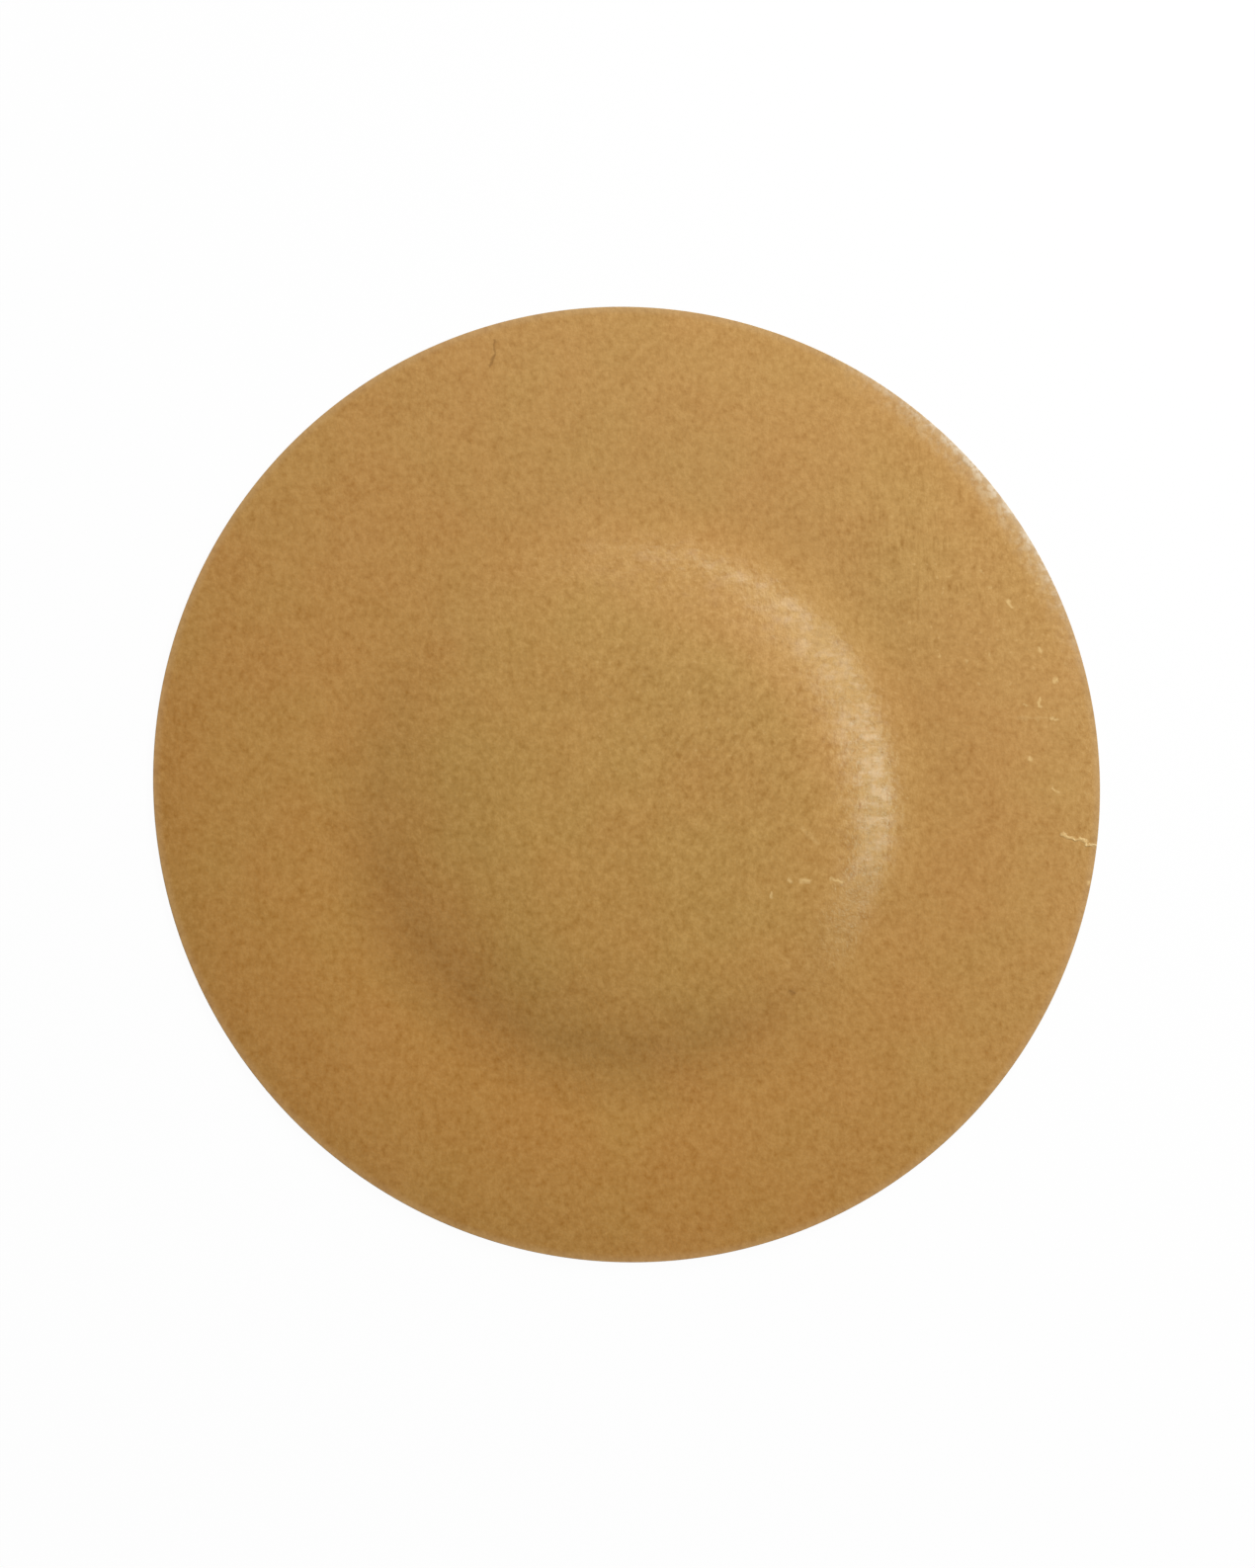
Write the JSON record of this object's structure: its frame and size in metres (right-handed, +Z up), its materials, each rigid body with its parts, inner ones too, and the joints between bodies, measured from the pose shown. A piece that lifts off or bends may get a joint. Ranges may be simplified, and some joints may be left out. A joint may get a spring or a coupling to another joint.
{
  "type": "transdermal patch",
  "caption": "Round tan transdermal patch with a low soft reservoir dome in a broad flat adhesive ring, lying on its release liner.",
  "frame": {"origin": "centre of the release liner's underside, on the surface that the patch lies on", "axes": "+Z up, away from the skin side, along the axis of the round outline; -Y towards the liner's peel strip and the side to which the dome sits off centre; +X to the right of a viewer who looks along +Y"},
  "size_m": [0.07, 0.07, 0.0021],
  "materials": {
    "tan_film": "matt tan film with a fine mottled grain",
    "drug_gel": "clear soft gel, slightly milky",
    "membrane_film": "white porous film, dull",
    "skin_adhesive": "pale tacky acrylic adhesive",
    "seal_laminate": "pale grey peelable laminate",
    "liner_film": "translucent siliconised film, smooth"
  },
  "bodies": {
    "root": {"backing_film": "tan_film", "drug_gel": "drug_gel", "control_membrane": "membrane_film", "adhesive_ring": "skin_adhesive", "seal_disc": "seal_laminate", "release_liner": "liner_film", "liner_peel_strip": "liner_film"}
  },
  "joints": []
}
